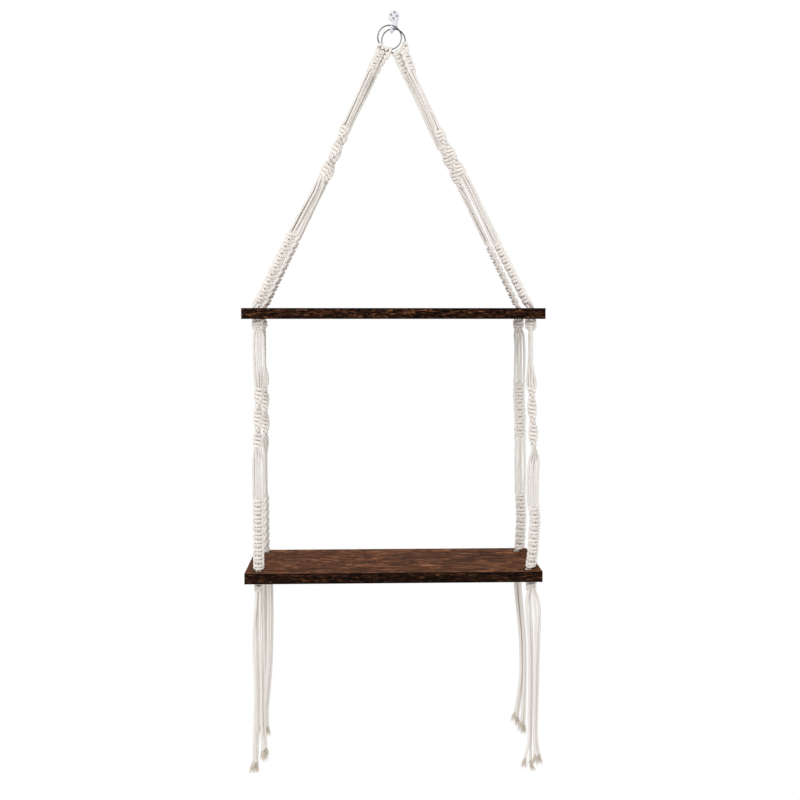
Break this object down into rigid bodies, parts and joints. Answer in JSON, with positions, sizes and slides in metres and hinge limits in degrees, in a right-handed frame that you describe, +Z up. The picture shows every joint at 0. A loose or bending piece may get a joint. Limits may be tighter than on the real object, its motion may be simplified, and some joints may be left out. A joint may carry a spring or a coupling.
{
  "type": "hanging rope shelf",
  "caption": "Two-tier hanging shelf: torched wooden boards on knotted cotton rope legs with loose rope tails, hung from steel rings on a small wall hook.",
  "frame": {"origin": "centre of the wall hook's flat back face, on the wall", "axes": "+Z up, the front faces -Y and +Y points into the wall, +X to the right seen from the front"},
  "size_m": [0.424, 0.153, 1.103],
  "materials": {
    "cotton": "matte",
    "torched_wood": "satin",
    "ring_steel": "polished",
    "nail_steel": "satin",
    "hook_plastic": "gloss"
  },
  "bodies": {
    "wall_hook": {"wall_hook": "hook_plastic", "nail_1": "nail_steel", "nail_2": "nail_steel", "nail_3": "nail_steel", "nail_4": "nail_steel"},
    "rings": {"ring_left": "ring_steel", "ring_right": "ring_steel", "larks_head_front_left": "cotton", "larks_head_rear_left": "cotton", "larks_head_rear_right": "cotton", "larks_head_front_right": "cotton"},
    "upper_tier": {"upper_leg_front_left": "cotton", "upper_leg_rear_left": "cotton", "upper_leg_rear_right": "cotton", "upper_leg_front_right": "cotton", "upper_board": "torched_wood", "upper_stopper_front_left": "cotton", "upper_stopper_rear_left": "cotton", "upper_stopper_rear_right": "cotton", "upper_stopper_front_right": "cotton"},
    "left_legs": {"middle_leg_front_left": "cotton", "middle_leg_rear_left": "cotton"},
    "right_legs": {"middle_leg_front_right": "cotton", "middle_leg_rear_right": "cotton"},
    "lower_tier": {"lower_board": "torched_wood", "lower_stopper_front_left": "cotton", "lower_stopper_rear_left": "cotton", "lower_stopper_rear_right": "cotton", "lower_stopper_front_right": "cotton"},
    "tassel_front_left": {"tail_front_left_1": "cotton", "tail_front_left_2": "cotton", "tail_front_left_3": "cotton", "tail_front_left_4": "cotton"},
    "tassel_rear_left": {"tail_rear_left_1": "cotton", "tail_rear_left_2": "cotton", "tail_rear_left_3": "cotton", "tail_rear_left_4": "cotton"},
    "tassel_rear_right": {"tail_rear_right_1": "cotton", "tail_rear_right_2": "cotton", "tail_rear_right_3": "cotton", "tail_rear_right_4": "cotton"},
    "tassel_front_right": {"tail_front_right_1": "cotton", "tail_front_right_2": "cotton", "tail_front_right_3": "cotton", "tail_front_right_4": "cotton"}
  },
  "joints": [
    {"name": "shelf_swing", "type": "hinge", "parent": "wall_hook", "child": "rings", "pos_m": [-0.004, -0.011, -0.0239], "axis": [0, 1, 0], "range_deg": [-12, 12]},
    {"name": "shelf_pull", "type": "hinge", "parent": "rings", "child": "upper_tier", "pos_m": [0, -0.01627, -0.06196], "axis": [-1, 0, 0], "range_deg": [0, 12]},
    {"name": "tier_sway", "type": "hinge", "parent": "upper_tier", "child": "left_legs", "pos_m": [-0.196, -0.078, -0.4563], "axis": [0, 1, 0], "range_deg": [-15, 15]},
    {"name": "right_leg_sway", "type": "hinge", "parent": "upper_tier", "child": "right_legs", "pos_m": [0.188, -0.078, -0.4563], "axis": [0, 1, 0], "range_deg": [-15, 15]},
    {"name": "lower_board_level", "type": "hinge", "parent": "left_legs", "child": "lower_tier", "pos_m": [-0.196, -0.078, -0.79685], "axis": [0, 1, 0], "range_deg": [-15, 15]},
    {"name": "tassel_front_left_swing", "type": "hinge", "parent": "lower_tier", "child": "tassel_front_left", "pos_m": [-0.196, -0.136, -0.8273], "axis": [0, 1, 0], "range_deg": [-25, 25]},
    {"name": "tassel_rear_left_swing", "type": "hinge", "parent": "lower_tier", "child": "tassel_rear_left", "pos_m": [-0.196, -0.02, -0.8273], "axis": [0, 1, 0], "range_deg": [-25, 25]},
    {"name": "tassel_rear_right_swing", "type": "hinge", "parent": "lower_tier", "child": "tassel_rear_right", "pos_m": [0.188, -0.02, -0.8273], "axis": [0, 1, 0], "range_deg": [-25, 25]},
    {"name": "tassel_front_right_swing", "type": "hinge", "parent": "lower_tier", "child": "tassel_front_right", "pos_m": [0.188, -0.136, -0.8273], "axis": [0, 1, 0], "range_deg": [-25, 25]}
  ],
  "couplings": [
    {"joint": "right_leg_sway", "follows": "tier_sway", "ratio": 1},
    {"joint": "lower_board_level", "follows": "tier_sway", "ratio": -1}
  ]
}
